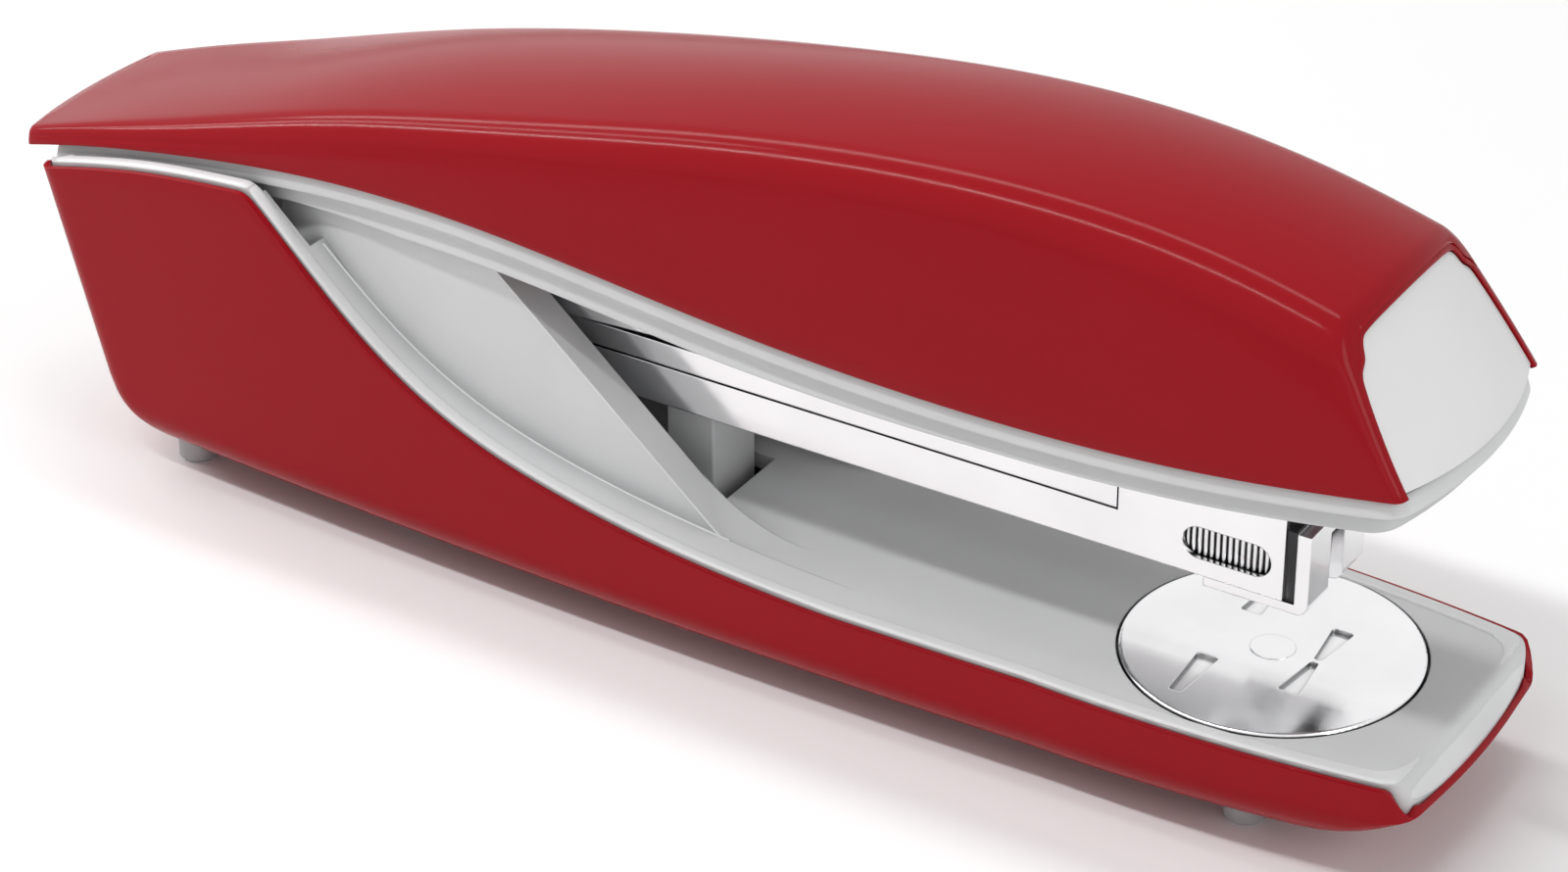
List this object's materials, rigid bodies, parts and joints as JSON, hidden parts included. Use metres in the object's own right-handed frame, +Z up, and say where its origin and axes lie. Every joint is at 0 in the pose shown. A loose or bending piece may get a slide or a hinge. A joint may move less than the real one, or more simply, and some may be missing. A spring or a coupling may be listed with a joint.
{
  "type": "desk stapler",
  "caption": "Full-strip desk stapler: red enamelled handle and base, pale grey liners, bright magazine, turning anvil plate, top-loading hinge.",
  "frame": {"origin": "centre of the footprint on the surface that the feet stand on", "axes": "+X towards the nose and the anvil, +Z up, X-Z is the plane of symmetry"},
  "size_m": [0.2023, 0.0434, 0.0756],
  "materials": {
    "red_enamel": "gloss enamel, red",
    "grey_moulding": "fine satin moulding, pale grey",
    "white_cap": "satin moulding, off-white",
    "foot_grey": "soft grey",
    "bright_steel": "bright nickel plate",
    "pressed_steel": "zinc plated, pressed",
    "dark_steel": "black oxide",
    "spring_steel": "drawn wire"
  },
  "bodies": {
    "base": {"base_shell": "red_enamel", "base_liner": "grey_moulding", "feet": "foot_grey", "base_screws": "pressed_steel", "hinge_bracket": "pressed_steel", "hinge_pin": "pressed_steel", "pin_clips": "pressed_steel", "bracket_screws": "pressed_steel", "anvil_spring": "spring_steel", "return_spring": "spring_steel"},
    "anvil_lifter": {"anvil_button": "grey_moulding"},
    "anvil": {"anvil_plate": "bright_steel"},
    "magazine": {"magazine_channel": "bright_steel", "nose_plate": "bright_steel", "nose_rivets": "pressed_steel", "staple_core": "dark_steel", "core_rivets": "pressed_steel", "follower_spring": "spring_steel", "spring_pin": "pressed_steel", "magazine_post": "grey_moulding"},
    "pusher": {"follower": "dark_steel"},
    "rail": {"staple_cover": "bright_steel"},
    "handle": {"driver_arm": "bright_steel", "driver_blade": "pressed_steel", "blade_rivets": "pressed_steel", "handle_cover": "red_enamel", "front_cap": "white_cap", "handle_liner": "grey_moulding", "handle_screws": "pressed_steel", "handle_spring": "spring_steel"}
  },
  "joints": [
    {"name": "magazine_pivot", "type": "hinge", "parent": "base", "child": "magazine", "pos_m": [-0.08405, 0, 0.033], "axis": [0, 1, 0], "range_deg": [0, 3.2], "stiffness_Nm_per_rad": 4, "springref_deg": -11.46, "deforming": ["return_spring"]},
    {"name": "loading_hinge", "type": "hinge", "parent": "magazine", "child": "rail", "pos_m": [-0.08405, 0, 0.033], "axis": [0, 1, 0], "range_deg": [-60, 0]},
    {"name": "press_stroke", "type": "hinge", "parent": "rail", "child": "handle", "pos_m": [-0.08405, 0, 0.033], "axis": [0, 1, 0], "range_deg": [0, 2.8], "stiffness_Nm_per_rad": 3, "springref_deg": -11.46, "deforming": ["handle_spring"]},
    {"name": "follower_slide", "type": "slide", "parent": "magazine", "child": "pusher", "axis": [1, 0, 0], "range_m": [-0.1, 0], "stiffness_N_per_m": 20, "springref_m": 0.03, "deforming": ["follower_spring"]},
    {"name": "anvil_lift", "type": "slide", "parent": "base", "child": "anvil_lifter", "axis": [0, 0, 1], "range_m": [0, 0.0008], "stiffness_N_per_m": 500, "springref_m": -0.002, "deforming": ["anvil_spring"]},
    {"name": "anvil_turn", "type": "hinge", "parent": "anvil_lifter", "child": "anvil", "pos_m": [0.07395, 0, 0.0155], "axis": [0, 0, 1], "range_deg": [0, 180]}
  ]
}
